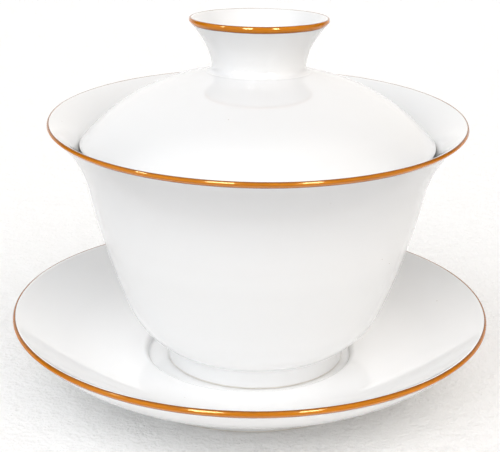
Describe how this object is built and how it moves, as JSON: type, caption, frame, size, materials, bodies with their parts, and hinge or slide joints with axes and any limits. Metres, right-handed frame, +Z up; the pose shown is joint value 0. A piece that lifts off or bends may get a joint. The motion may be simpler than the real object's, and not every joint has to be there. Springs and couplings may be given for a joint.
{
  "type": "gaiwan",
  "caption": "Lidded porcelain tea bowl on a saucer: flared bowl on a foot ring, domed lid with a hollow knob, dished saucer with a well, and a painted line round each rim.",
  "frame": {"origin": "middle of the saucer's foot ring, on the surface that the set stands on", "axes": "+Z up; the set is turned about Z, and the lid's raised side and the usual front face -Y"},
  "size_m": [0.1188, 0.1188, 0.0939],
  "materials": {
    "porcelain": "glossy clear glaze over white porcelain",
    "rim_enamel": "glossy orange-brown overglaze enamel"
  },
  "bodies": {
    "saucer": {"saucer": "porcelain", "saucer_rim_band": "rim_enamel"},
    "bowl": {"bowl": "porcelain", "bowl_rim_band": "rim_enamel"},
    "lid": {"lid": "porcelain", "lid_knob": "porcelain", "knob_rim_band": "rim_enamel"}
  },
  "joints": [
    {"name": "bowl_lift", "type": "slide", "parent": "saucer", "child": "bowl", "axis": [0, 0, 1], "range_m": [0, 0.06]},
    {"name": "lid_lift", "type": "slide", "parent": "bowl", "child": "lid", "axis": [0, 0, 1], "range_m": [0, 0.06]}
  ]
}
